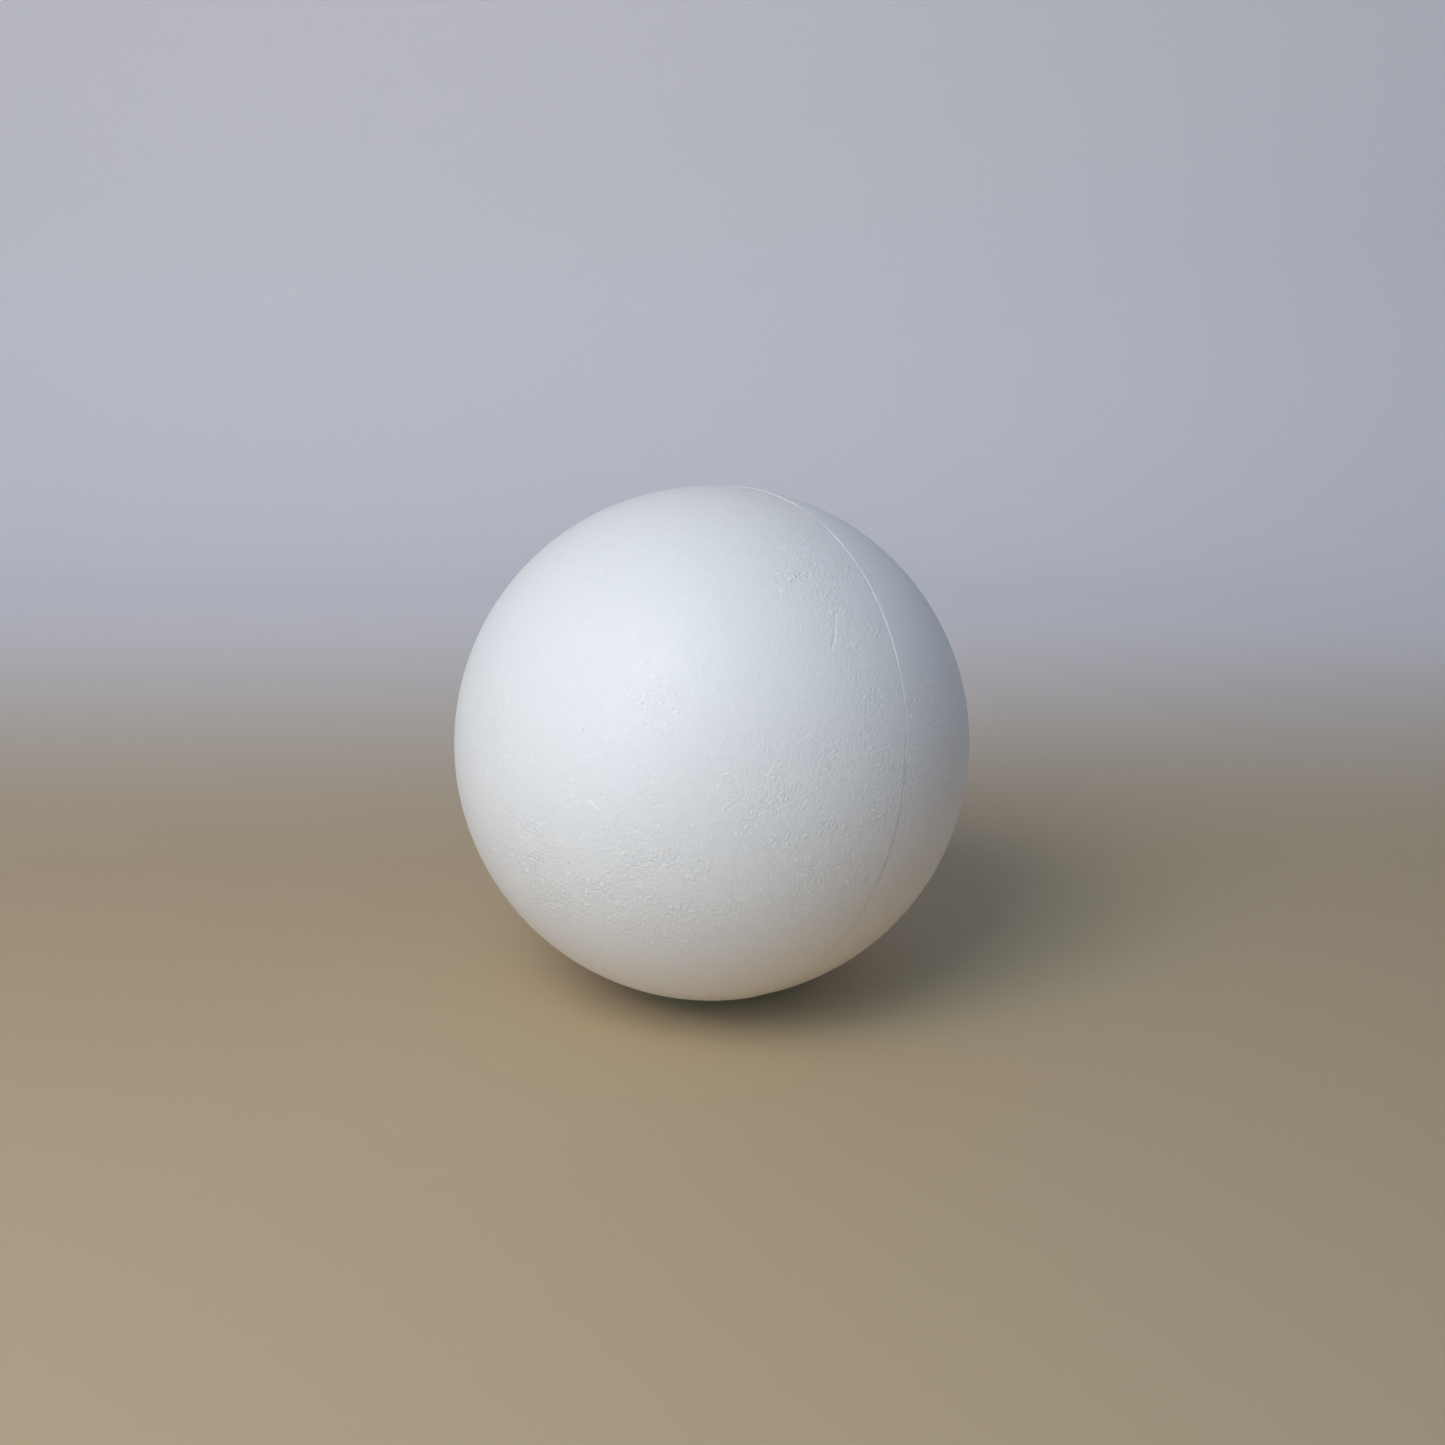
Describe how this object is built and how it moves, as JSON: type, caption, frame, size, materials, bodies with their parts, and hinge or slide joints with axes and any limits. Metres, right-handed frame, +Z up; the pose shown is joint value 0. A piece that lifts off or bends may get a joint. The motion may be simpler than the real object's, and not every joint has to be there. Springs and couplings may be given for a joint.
{
  "type": "polystyrene ball",
  "caption": "White moulded polystyrene foam ball for craft use, a true sphere with a fine parting line round its middle.",
  "frame": {"origin": "centre of the ball", "axes": "+Z is up as the ball lies, -Y is the side shown in the picture; the parting plane's normal points to the back and right, turned 43 degrees from +X towards +Y and 12.5 degrees below level"},
  "size_m": [0.3, 0.3002, 0.2992],
  "materials": {
    "foam": "white expanded polystyrene with a smooth moulded skin, a faint pebbled bead grain and a soft sheen"
  },
  "bodies": {
    "root": {"ball": "foam"}
  },
  "joints": []
}
